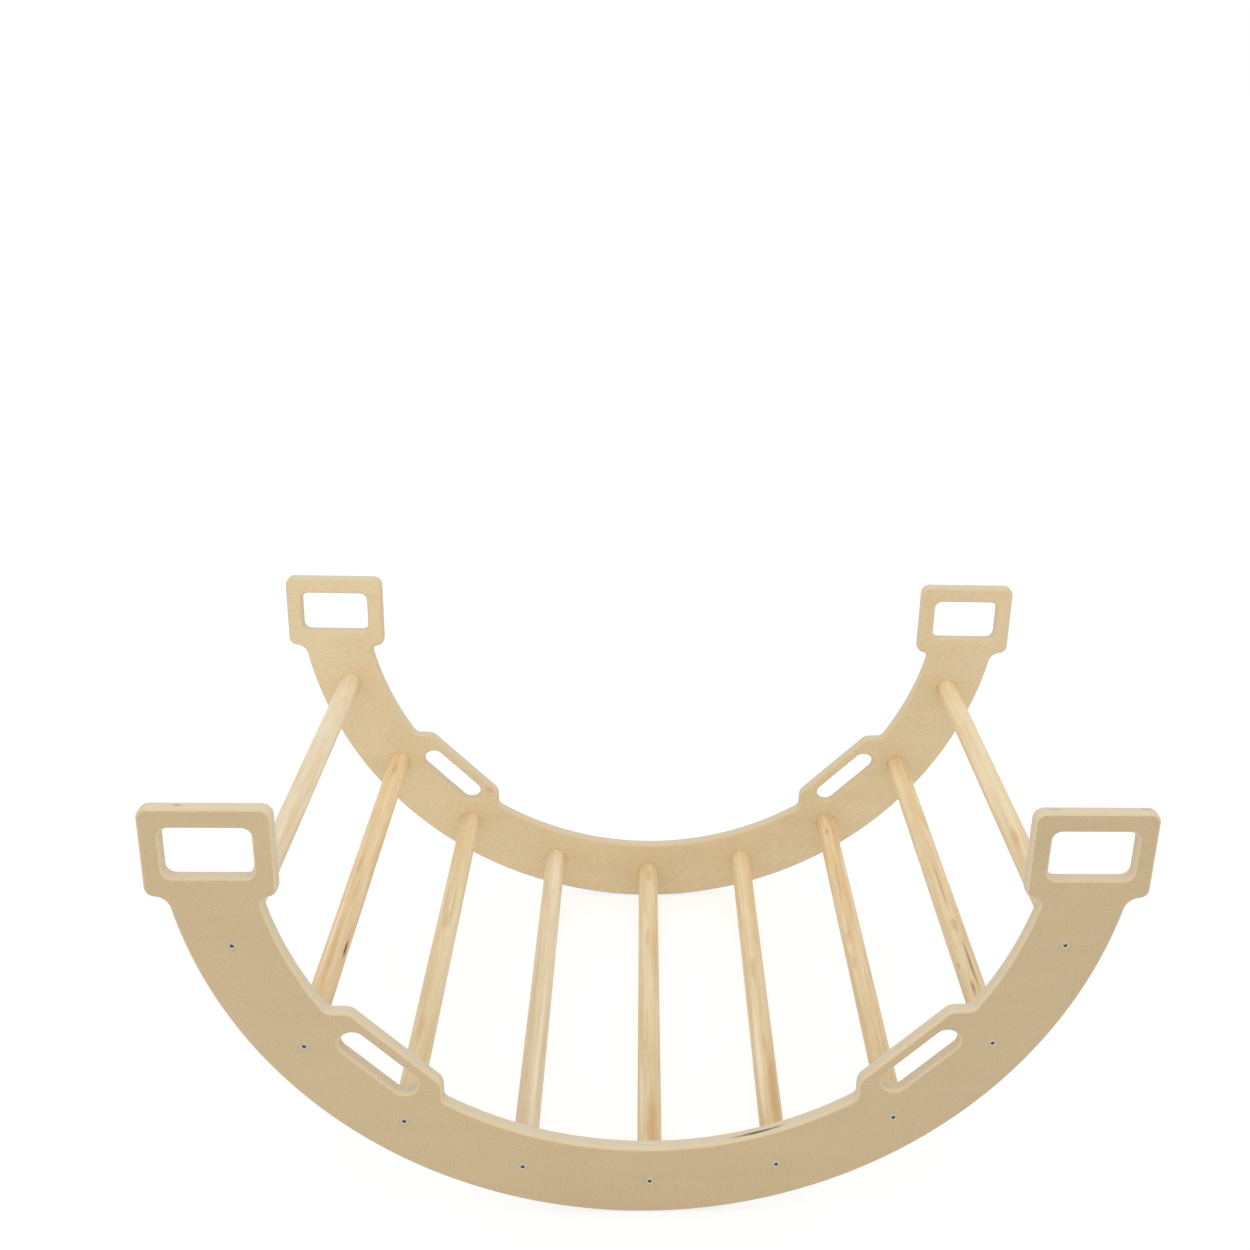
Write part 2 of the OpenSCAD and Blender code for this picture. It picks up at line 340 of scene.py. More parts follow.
def mesh_object(name: str, patches: Sequence[Patch]) -> bpy.types.Object:
    """Welds patches into one closed mesh in metres, and keeps the normals of their corners.

    Args:
        name: Name of the object and of its mesh.
        patches: Patches in millimetres, in the frame of the whole arch.

    Returns:
        The object, at the origin and linked to the scene.
    """
    corners = np.concatenate([patch.corners for patch in patches]).reshape(-1, 3)
    normals = np.concatenate([patch.normals for patch in patches])
    places = np.round(corners / WELD).astype(np.int64)
    _, first, number = np.unique(places, axis=0, return_index=True, return_inverse=True)
    triangles = number.reshape(-1, 3)
    whole = (triangles != np.roll(triangles, 1, axis=1)).all(axis=1)
    mesh = bpy.data.meshes.new(name)
    mesh.from_pydata((corners[first] * MM).tolist(), [], triangles[whole].tolist())
    mesh.shade_smooth()
    mesh.normals_split_custom_set(normals[whole].reshape(-1, 3).tolist())
    obj = bpy.data.objects.new(name, mesh)
    bpy.context.scene.collection.objects.link(obj)
    log.info("%s: %d triangles", name, int(whole.sum()))
    return obj


# ---------------------------------------------------------------- finishes

Socket = bpy.types.NodeSocket
AddNode = Callable[..., Socket]
Span = tuple[float, float]
Colour = tuple[float, float, float, float]
Paint = Colour | Socket

# Inputs have numbers where their names occur twice. A Mix node has its share at 0, numbers at 2 and 3,
# vectors at 4 and 5, and colours at 6 and 7. A Map Range node has the value at 0 and its spans from 1 on.
SMOOTH = {"interpolation_type": "SMOOTHSTEP"}
WHITE = (1.0, 1.0, 1.0, 1.0)
# Where the values of a noise mostly lie
USUAL = (0.3, 0.7)


def linear(colour: str) -> Colour:
    """Turns an sRGB hex colour to the linear colour that a shader takes.

    A part c from 0 to 1 becomes c / 12.92 up to 0.04045, and ((c + 0.055) / 1.055) ^ 2.4 above it.

    Args:
        colour: The colour, as "#RRGGBB".

    Returns:
        Red, green, blue and an alpha of 1.
    """
    parts = np.array([int(colour[i : i + 2], 16) / 255 for i in (1, 3, 5)])
    red, green, blue = np.where(parts <= 0.04045, parts / 12.92, ((parts + 0.055) / 1.055) ** 2.4)
    return float(red), float(green), float(blue), 1.0


def metres(sizes: Sequence[float]) -> list[float]:
    """Sizes in millimetres as the metres that a shader takes."""
    return [size * MM for size in sizes]


def per(size: float) -> float:
    """Scale of a pattern, from the size of its grains in millimetres."""
    return 1 / (size * MM)


def ranges(source: Span, target: Span) -> dict[int, float]:
    """The numbered inputs of a Map Range node that takes a source span to a target span."""
    return {1: source[0], 2: source[1], 3: target[0], 4: target[1]}


def add_node(
    tree: bpy.types.NodeTree,
    kind: str,
    inputs: Mapping[int | str, object] | None = None,
    out: int | str = 0,
    **settings: object,
) -> Socket:
    """Adds a node with its settings and links.

    Args:
        tree: Where the node goes.
        kind: Kind of node, without the words ShaderNode.
        inputs: A socket to link or a value to set, for each named or numbered input.
        out: Which output to return.
        settings: The node's own settings.

    Returns:
        The output, or None for a node that has none.
    """
    node = tree.nodes.new("ShaderNode" + kind)
    for name, value in settings.items():
        setattr(node, name, value)
    for name, value in (inputs or {}).items():
        if isinstance(value, Socket):
            tree.links.new(value, node.inputs[name])
        else:
            node.inputs[name].default_value = value
    return node.outputs[out] if node.outputs else None


def layered(add: AddNode, colour: Paint, layers: Iterable[tuple[Socket, Paint]]) -> Socket:
    """Lays colours over a colour, each by its share.

    Args:
        add: Adds a node.
        colour: The colour beneath.
        layers: The share, from 0 to 1, and the colour of each layer.

    Returns:
        The colour on top.
    """
    for share, over in layers:
        colour = add("Mix", {0: share, 6: colour, 7: over}, out=2, data_type="RGBA")
    return colour


def shaded(add: AddNode, colour: Socket, shades: Iterable[tuple[Socket, Span, Span]]) -> Socket:
    """Multiplies a colour by factors.

    Args:
        add: Adds a node.
        colour: The colour.
        shades: A value, the span that it covers and the span of its factor, for each factor.

    Returns:
        The colour, times all factors.
    """
    for value, source, target in shades:
        factor = add("MapRange", {0: value} | ranges(source, target))
        colour = add("VectorMath", {0: colour, "Scale": factor}, operation="SCALE")
    return colour


def sunk(add: AddNode, place: Socket, outer_face: float) -> Socket:
    """Finds how deep a place lies below the outer face of the panel on its side.

    Args:
        add: Adds a node.
        place: Place on the object, in metres.
        outer_face: Distance of the outer faces from the middle of the arch, in millimetres.

    Returns:
        The depth, in metres.
    """
    across = add("SeparateXYZ", {0: place}, out="Y")
    from_middle = add("Math", {0: across}, operation="ABSOLUTE")
    return add("Math", {0: outer_face * MM, 1: from_middle}, operation="SUBTRACT")


@dataclass(frozen=True)
class Gloss:
    """How a surface shines, and the strength and depth in millimetres of its relief."""

    roughness: Span
    relief: float
    depth: float
    specular: float = 0.5
    metallic: float = 0.0

    def shader(self, add: AddNode, colour: Socket, height: Socket, cloud: Socket) -> Socket:
        """The shader of a surface.

        Args:
            add: Adds a node.
            colour: Its colour.
            height: The height of its relief, from 0 to 1.
            cloud: A noise by which its roughness wanders.

        Returns:
            The shader.
        """
        bump = add("Bump", {"Height": height, "Strength": self.relief, "Distance": self.depth * MM})
        rough = add("MapRange", {0: cloud} | ranges(USUAL, self.roughness))
        shine = {"Roughness": rough, "Specular IOR Level": self.specular, "Metallic": self.metallic}
        return add("BsdfPrincipled", {"Base Color": colour, "Normal": bump} | shine)


class Finish(ABC):
    """A finish, which its surface method describes."""

    @abstractmethod
    def surface(self, add: AddNode) -> Socket:
        """The shader of the finish, made with a function that adds nodes."""

    def material(self, name: str) -> bpy.types.Material:
        """The finish as a material.

        Args:
            name: Name of the material.

        Returns:
            The material.
        """
        material = bpy.data.materials.new(name)
        material.use_nodes = True
        material.node_tree.nodes.clear()
        add = partial(add_node, material.node_tree)
        add("OutputMaterial", {"Surface": self.surface(add)})
        return material


@dataclass(frozen=True)
class Pattern:
    """A noise: the width of its grains in millimetres, how it is squeezed along the axes, and its kind."""

    width: float
    squeeze: tuple[float, float, float] = (1.0, 1.0, 1.0)
    detail: float = 2.0
    roughness: float = 0.5
    distortion: float = 0.0


def drawn(add: AddNode, place: Socket, patterns: Mapping[str, Pattern]) -> dict[str, Socket]:
    """Draws a finish's patterns: noise of place * squeeze / width.

    Args:
        add: Adds a node.
        place: Place on the object, in metres.
        patterns: The patterns, by name.

    Returns:
        The values of each, by name.
    """
    values = {}
    for name, pattern in patterns.items():
        at = add("VectorMath", {0: place, 1: pattern.squeeze}, operation="MULTIPLY")
        kind = {"Detail": pattern.detail, "Roughness": pattern.roughness, "Distortion": pattern.distortion}
        values[name] = add("TexNoise", {"Vector": at, "Scale": per(pattern.width)} | kind)
    return values


class Figure(Enum):
    """Kinds of marks in wood, each with its colour."""

    PALE = "#FAECCD"
    GOLDEN = "#D1A76B"
    TAN = "#CFB07C"
    ROSY = "#D29D6D"
    BROWN = "#B98E5D"
    KNOT = "#99724B"
    DEAD_KNOT = "#43352A"
    OPEN_PLY = "#6B5230"
    DUSTY = "#8A785B"
    BLUSH = "#D6A688"


@dataclass(frozen=True)
class Mark:
    """A knot, a streak, a pale or golden band or a gap between plies.

    It is an ellipsoid, seen where it meets the surface. Its place and reach are in millimetres. The
    distance from its middle, in parts of its reach, goes up by a noise times ragged, with its waves per
    reach, and with that the mark fades out over the span fade.
    """

    place: tuple[float, float, float]
    reach: tuple[float, float, float]
    figure: Figure
    strength: float
    ragged: float = 0.9
    waves: float = 2.5
    fade: Span = (0.7, 1.5)

    def painted(self, add: AddNode, where: Socket, under: Socket) -> Socket:
        """Paints the mark over a colour.

        Args:
            add: Adds a node.
            where: Place on the object, in metres.
            under: The colour beneath.

        Returns:
            The colour with the mark.
        """
        offset = add("VectorMath", {0: where, 1: metres(self.place)}, operation="SUBTRACT")
        scaled = add("VectorMath", {0: offset, 1: metres(self.reach)}, operation="DIVIDE")
        noise = add("TexNoise", {"Vector": scaled, "Scale": self.waves, "Detail": 3.0})
        distance = add("VectorMath", {0: scaled}, out=1, operation="LENGTH")
        edge = add("Math", {0: noise, 1: self.ragged, 2: distance}, operation="MULTIPLY_ADD")
        mask = add("MapRange", {0: edge} | ranges(self.fade, (self.strength, 0.0)), **SMOOTH)
        return layered(add, under, [(mask, linear(self.figure.value))])


@dataclass(frozen=True)
class Veneer:
    """A sheet of rotary-cut birch, with the two hues between which it wanders."""

    ruddy: str
    straw: str

    def painted(self, add: AddNode, hue: Socket) -> Socket:
        """The veneer's colour, for a hue from 0 to 1."""
        return layered(add, linear(self.ruddy), [(hue, linear(self.straw))])


@dataclass(frozen=True)
class BirchPlywood(Finish):
    """Birch plywood, 15 mm, sanded and lacquered matt.

    The faces are rotary-cut veneer: a calm tan with a faint figure in waves along X, a hue that wanders
    and fine flecks. It is paler on the inner face, and a little deeper towards the right. The edges are
    cream, with eleven plies that show long fibres or end grain, by turns and by the way the edge runs,
    and they are warmer where they are rounded over. The real flecks are 0.3 mm wide and the real fibres
    0.1 mm, which would not show, so both are drawn coarser.
    """

    PATTERNS: ClassVar[Mapping[str, Pattern]] = {
        "waver": Pattern(45.45, detail=1.0),
        "figure": Pattern(23.81, (0.12, 1.0, 1.0), 3.0, distortion=0.7),
        "cloud": Pattern(142.9),
        "wander": Pattern(8.333),
        "fleck": Pattern(1.3, (0.6, 1.0, 1.0)),
    }

    outer_face: float
    thickness: float
    marks: tuple[Mark, ...] = ()
    plies: int = 11
    fibre_l: float = 16.67
    fibre_w: float = 1.111
    outer: Veneer = Veneer("#D4B994", "#CFBB91")
    inner: Veneer = Veneer("#EAD1AA", "#E5D3A8")
    edge_long: str = "#E3D9C5"
    edge_end: str = "#D8CCB2"
    edge_round: str = "#E6CFA4"
    glue: str = "#B89E74"
    figure_shade: Span = (0.965, 1.035)
    fleck_shade: Span = (0.905, 1.09)
    fibre_shade: Span = (0.95, 1.05)
    left_to_right_shade: Span = (1.035, 0.965)
    shade_reach: float = 500.0
    hue_span: Span = (0.36, 0.64)
    figure_part: float = 0.8
    figure_span: Span = (0.6, 1.2)
    fibre_span: Span = (0.25, 0.75)
    glue_span: Span = (0.05, 0.2)
    glue_share: Span = (0.5, 0.0)
    # How far the surface faces outward where the rounding's colour comes in, and where the face does
    round_span: Span = (0.05, 0.5)
    round_share: Span = (0.0, 0.85)
    face_span: Span = (0.86, 0.985)
    gloss: Gloss = Gloss((0.46, 0.58), 0.12, 0.4, specular=0.4)

    def ply(self, add: AddNode, place: Socket, waver: Socket) -> Socket:
        """Finds which ply the surface cuts.

        Plies are counted by depth from 0 at the outer face, and the glue lines between them waver.

        Args:
            add: Adds a node.
            place: Place on the object, in metres.
            waver: A noise.

        Returns:
            The ply's number, plus how far through it the surface is, from 0 to 1.
        """
        depth = sunk(add, place, self.outer_face)
        per_metre = self.plies / (self.thickness * MM)
        ply = add("Math", {0: depth, 1: per_metre, 2: waver}, operation="MULTIPLY_ADD")
        # The noise lies around a half, which comes off again, and the faces stay within the outermost plies
        return add("MapRange", {0: ply} | ranges((1.0, self.plies), (0.5, self.plies - 0.5)))

    def edge(
        self, add: AddNode, place: Socket, facing: Mapping[str, Socket], ply: Socket
    ) -> tuple[Socket, Socket]:
        """The colour of an edge: long wood, then end grain, glue lines and the rounding laid over it.

        Args:
            add: Adds a node.
            place: Place on the object, in metres.
            facing: How far the surface faces along X, Y and Z.
            ply: Which ply the surface cuts.

        Returns:
            The colour, and the fibres as a height.
        """
        number = add("Math", {0: ply}, operation="FLOOR")
        crossed = add("Math", {0: number, 1: 2.0}, operation="MODULO")
        end_grain = add("Mix", {0: crossed, 2: facing["X"], 3: facing["Z"]})
        through = add("Math", {0: ply}, operation="FRACT")
        from_glue = add("Math", {0: through, 1: 0.5}, operation="PINGPONG")
        glue_line = add("MapRange", {0: from_glue} | ranges(self.glue_span, self.glue_share))
        rounding = add("MapRange", {0: facing["Y"]} | ranges(self.round_span, self.round_share), **SMOOTH)
        colour = layered(add, linear(self.edge_long), [
            (end_grain, linear(self.edge_end)),
            (glue_line, linear(self.glue)),
            (rounding, linear(self.edge_round)),
        ])
        # Long fibres run along X in the plies that lie like the face, and along Z in the crossed ones
        long, thick = per(self.fibre_l), per(self.fibre_w)
        fibres_x = add("VectorMath", {0: place, 1: (long, thick, thick)}, operation="MULTIPLY")
        fibres_z = add("VectorMath", {0: place, 1: (thick, thick, long)}, operation="MULTIPLY")
        fibres = add("Mix", {0: crossed, 4: fibres_x, 5: fibres_z}, out=1, data_type="VECTOR")
        fibre = add("TexNoise", {"Vector": fibres, "Scale": 1.0, "Detail": 2.0})
        return shaded(add, colour, [(fibre, self.fibre_span, self.fibre_shade)]), fibre

    def face(self, add: AddNode, place: Socket, noise: Mapping[str, Socket], ply: Socket) -> Socket:
        """The colour of a face: the veneer's, times the shades of its figure, flecks and place.

        Args:
            add: Adds a node.
            place: Place on the object, in metres.
            noise: The values of the patterns.
            ply: Which ply the surface cuts.

        Returns:
            The colour.
        """
        hue = add("MapRange", {0: noise["wander"]} | ranges(self.hue_span, (0.0, 1.0)))
        inward = add("Math", {0: ply, 1: self.plies / 2}, operation="GREATER_THAN")
        colour = layered(add, self.outer.painted(add, hue), [(inward, self.inner.painted(add, hue))])
        figure = {0: noise["figure"], 1: self.figure_part, 2: noise["cloud"]}
        return shaded(add, colour, [
            (add("Math", figure, operation="MULTIPLY_ADD"), self.figure_span, self.figure_shade),
            (noise["fleck"], USUAL, self.fleck_shade),
            (
                add("SeparateXYZ", {0: place}, out="X"),
                (-self.shade_reach * MM, self.shade_reach * MM),
                self.left_to_right_shade,
            ),
        ])

    def surface(self, add: AddNode) -> Socket:
        """The shader: edge or face by which way the surface looks, and the marks over both.

        Args:
            add: Adds a node.

        Returns:
            The shader.
        """
        place = add("TexCoord", out="Object")
        normal = add("TexCoord", out="Normal")
        upright = add("VectorMath", {0: normal}, operation="ABSOLUTE")
        facing = {axis: add("SeparateXYZ", {0: upright}, out=axis) for axis in "XYZ"}
        noise = drawn(add, place, self.PATTERNS)
        ply = self.ply(add, place, noise["waver"])
        edge, fibre = self.edge(add, place, facing, ply)
        on_face = add("MapRange", {0: facing["Y"]} | ranges(self.face_span, (0.0, 1.0)), **SMOOTH)
        colour = layered(add, edge, [(on_face, self.face(add, place, noise, ply))])
        for mark in self.marks:
            colour = mark.painted(add, place, colour)
        relief = add("Mix", {0: on_face, 2: fibre, 3: noise["fleck"]})
        return self.gloss.shader(add, colour, relief, noise["cloud"])


class PineTone(Enum):
    """Shades of pine, by the piece of the tree: each has a pale and a deep colour."""

    CREAM = ("#F3E4C7", "#DCC79F")
    ROSY = ("#F3DFB6", "#D9B581")
    STRAW = ("#F2E1BC", "#D9C090")
    HONEY = ("#F4E0B8", "#D9BC8B")


@dataclass(frozen=True)
class PineDowel(Finish):
    """A planed pine dowel, lacquered with a soft shine.

    Soft streaks some 200 mm long, faint growth rings, warm patches a hand's width long and a flame some
    40 mm long run along it. A painted shade makes it a little darker at its front end and lighter towards
    its rear, as light falls on it. It was sawn very nearly along a trunk whose pith ran 70 mm beside it.
    Real fibres are 0.05 mm wide, which would not show, so they are drawn coarser.
    """

    PATTERNS: ClassVar[Mapping[str, Pattern]] = {
        "sway": Pattern(20.0, (1.0, 0.05, 1.0)),
        "streak": Pattern(7.0, (1.0, 0.035, 1.0), 3.0, 0.6),
        "patch": Pattern(22.22, (1.0, 0.16, 1.0)),
        "flame": Pattern(4.545, (1.0, 0.12, 1.0), 3.0, distortion=0.6),
        "fibre": Pattern(1.111, (1.0, 0.025, 1.0)),
    }

    axis: tuple[float, float, float]
    piece: float
    tone: PineTone
    marks: tuple[Mark, ...] = ()
    pith: float = 70.0
    ring: float = 2.6
    sway: float = 12.0
    lean: float = 0.008
    turn_step: float = 97.0
    # How far from the middle the painted shade along the dowel reaches its full strength, in millimetres
    shade_reach: float = 250.0
    warm: str = "#DFB986"
    ring_depth: Span = (0.0, 0.22)
    streak_depth: Span = (0.05, 0.75)
    patch_depth: Span = (0.0, 0.55)
    flame_shade: Span = (0.94, 1.06)
    # Painted shade along the dowel: the factor at its front end and at its rear
    painted_shade_front_to_rear: Span = (0.925, 1.075)
    ring_span: Span = (0.2, 0.9)
    patch_span: Span = (0.5, 0.8)
    flame_part: float = 1.2
    flame_span: Span = (0.7, 1.5)
    gloss: Gloss = Gloss((0.36, 0.46), 0.12, 0.4)

    def surface(self, add: AddNode) -> Socket:
        """The shader: pale to deep wood by rings and streaks, then patches, shades, a painted shade along
        it and marks.

        The rings are the fraction of the distance from the pith, plus sway, over the width of a ring.

        Args:
            add: Adds a node.

        Returns:
            The shader.
        """
        place = add("TexCoord", out="Object")
        centred = add("VectorMath", {0: place, 1: metres(self.axis)}, operation="SUBTRACT")
        # Each dowel is cut from another place in the trunk, and turned another way
        spot = (self.pith * MM, self.piece, 0.0)
        turn = (0.0, radians(self.piece * self.turn_step), self.lean)
        sawn = add("Mapping", {"Vector": centred, "Location": spot, "Rotation": turn})
        noise = drawn(add, sawn, self.PATTERNS)
        across = add("VectorMath", {0: sawn, 1: (1.0, 0.0, 1.0)}, operation="MULTIPLY")
        radius = add("VectorMath", {0: across}, out=1, operation="LENGTH")
        radius = add("Math", {0: noise["sway"], 1: self.sway * MM, 2: radius}, operation="MULTIPLY_ADD")
        rings = add("Math", {0: radius, 1: self.ring * MM}, operation="DIVIDE")
        rings = add("Math", {0: rings}, operation="FRACT")
        late = add("MapRange", {0: rings} | ranges(self.ring_span, self.ring_depth), **SMOOTH)
        streak = add("MapRange", {0: noise["streak"]} | ranges(USUAL, self.streak_depth))
        deep = add("Math", {0: streak, 1: late}, operation="ADD", use_clamp=True)
        patch = add("MapRange", {0: noise["patch"]} | ranges(self.patch_span, self.patch_depth))
        pale, dark = (linear(colour) for colour in self.tone.value)
        colour = layered(add, pale, [(deep, dark), (patch, linear(self.warm))])
        flame = {0: noise["flame"], 1: self.flame_part, 2: noise["fibre"]}
        # Painted shade along the dowel: darker towards its front end, lighter towards its rear
        ends = (-self.shade_reach * MM, self.shade_reach * MM)
        colour = shaded(add, colour, [
            (add("Math", flame, operation="MULTIPLY_ADD"), self.flame_span, self.flame_shade),
            (add("SeparateXYZ", {0: centred}, out="Y"), ends, self.painted_shade_front_to_rear),
        ])
        for mark in self.marks:
            colour = mark.painted(add, centred, colour)
        return self.gloss.shader(add, colour, noise["fibre"], noise["patch"])


@dataclass(frozen=True)
class ZincPlatedSteel(Finish):
    """Zinc-plated steel: a pale, slightly warm grey with a soft, clouded shine, and dust and painted shade
    in the sockets.

    The dust and the painted shade lie between two depths below the outer face of the panel, in millimetres.
    """

    PATTERNS: ClassVar[Mapping[str, Pattern]] = {"cloud": Pattern(2.5, detail=3.0)}

    outer_face: float
    # Depths between which dust and a painted shade darken the hexagon socket
    dust_and_shade_from: float = 0.5
    dust_and_shade_to: float = 2.9
    bright: str = "#D3CCBC"
    dull: str = "#B8B09F"
    dust_and_shade: str = "#A08E72"
    gloss: Gloss = Gloss((0.32, 0.46), 0.08, 0.2, metallic=1.0)

    def surface(self, add: AddNode) -> Socket:
        """The shader: clouded metal, and dust and painted shade by depth.

        Args:
            add: Adds a node.

        Returns:
            The shader.
        """
        place = add("TexCoord", out="Object")
        depth = sunk(add, place, self.outer_face)
        # Dust and painted shade in the hexagon socket, between the two depths
        fades_in = (self.dust_and_shade_from * MM, 2 * self.dust_and_shade_from * MM)
        below = add("MapRange", {0: depth} | ranges(fades_in, (0.0, 1.0)))
        above = add("Math", {0: depth, 1: self.dust_and_shade_to * MM}, operation="LESS_THAN")
        dusty_and_shaded = add("Math", {0: below, 1: above}, operation="MULTIPLY")
        cloud = drawn(add, place, self.PATTERNS)["cloud"]
        layers = [(cloud, linear(self.bright)), (dusty_and_shaded, linear(self.dust_and_shade))]
        return self.gloss.shader(add, layered(add, linear(self.dull), layers), cloud, cloud)


def seen_directly(add: AddNode) -> Socket:
    """Tells what the camera sees from what only lights the scene.

    Args:
        add: Adds a node.

    Returns:
        1 for rays that the camera sees, directly, mirrored or through glass, and 0 for the others.
    """
    camera = add("LightPath", out="Is Camera Ray")
    glossy = add("LightPath", out="Is Glossy Ray")
    through = add("LightPath", out="Is Transmission Ray")
    either = add("Math", {0: camera, 1: glossy}, operation="MAXIMUM")
    return add("Math", {0: either, 1: through}, operation="MAXIMUM")


@dataclass(frozen=True)
class MattWhiteFloor(Finish):
    """Matt white paint, which the camera sees lighter than it is, with its shadows kept."""

    colour: str = "#F4F3F1"
    glow: float = 0.6
    glow_strength: float = 1.2

    def surface(self, add: AddNode) -> Socket:
        """The shader: matt paint, with a share of even light in it for the camera only.

        Args:
            add: Adds a node.

        Returns:
            The shader.
        """
        paint = add("BsdfDiffuse", {"Color": linear(self.colour)})
        light = add("Emission", {"Color": WHITE, "Strength": self.glow_strength})
        share = add("Math", {0: seen_directly(add), 1: self.glow}, operation="MULTIPLY")
        return add("MixShader", {0: share, 1: paint, 2: light})


# ---------------------------------------------------------------- the arch


@dataclass(frozen=True)
class ArchSizes:
    """The driving sizes of the arch, in millimetres and degrees."""

    arc_outer_r: float = 500.0
    band_w: float = 90.0
    panel_t: float = 15.0
    inner_w: float = 573.0
    edge_r: float = 4.0
    handle_rise: float = 20.0
    handle_h: float = 103.0
    rung_count: int = 9
    rung_d: float = 28.0
    rung_to_handle: float = 59.5
    socket_depth: float = 6.0
    socket_clearance: float = 0.15
    head_d: float = 10.0
    head_rim: float = 0.6
    shank_d: float = 7.0
    screw_l: float = 50.0
    screw_clearance: float = 0.1
    round_steps: int = 96

    @property
    def arc_inner_r(self) -> float:
        """Radius of the inner edge of the band."""
        return self.arc_outer_r - self.band_w

    @property
    def band_mid_r(self) -> float:
        """Radius of the circle on which the rungs lie."""
        return self.arc_outer_r - self.band_w / 2

    @property
    def outer_face(self) -> float:
        """Distance of a panel's outer face from the middle of the arch."""
        return self.inner_w / 2 + self.panel_t

    @property
    def last_rung_angle(self) -> float:
        """Angle of the rung nearest to a handle, from straight down."""
        handle_angle = degrees(acos((self.handle_h - self.handle_rise) / self.band_mid_r))
        return handle_angle - degrees(self.rung_to_handle / self.band_mid_r)

    @property
    def rung_pitch(self) -> float:
        """Angle between two rungs."""
        return 2 * self.last_rung_angle / (self.rung_count - 1)

    @property
    def rung_angles(self) -> Array:
        """Angles of the rungs, from straight down."""
        return np.linspace(-self.last_rung_angle, self.last_rung_angle, self.rung_count)

    @property
    def rung_centres(self) -> Array:
        """Places of the rungs in the plane of a panel."""
        return self.band_mid_r * along(self.rung_angles - 90)


class Side(Enum):
    """The two sides of the arch: the rear is the front turned half a turn around the upright axis."""

    FRONT = 1
    REAR = -1

    def stood(self, patch: Patch, sizes: ArchSizes) -> Patch:
        """Stands a patch of a lying panel up on the floor, with its inner face towards the middle."""
        turn = np.array([[self.value, 0, 0], [0, 0, -self.value], [0, 1, 0]], float)
        return patch.placed(turn, (0, -self.value * sizes.inner_w / 2, sizes.arc_outer_r))


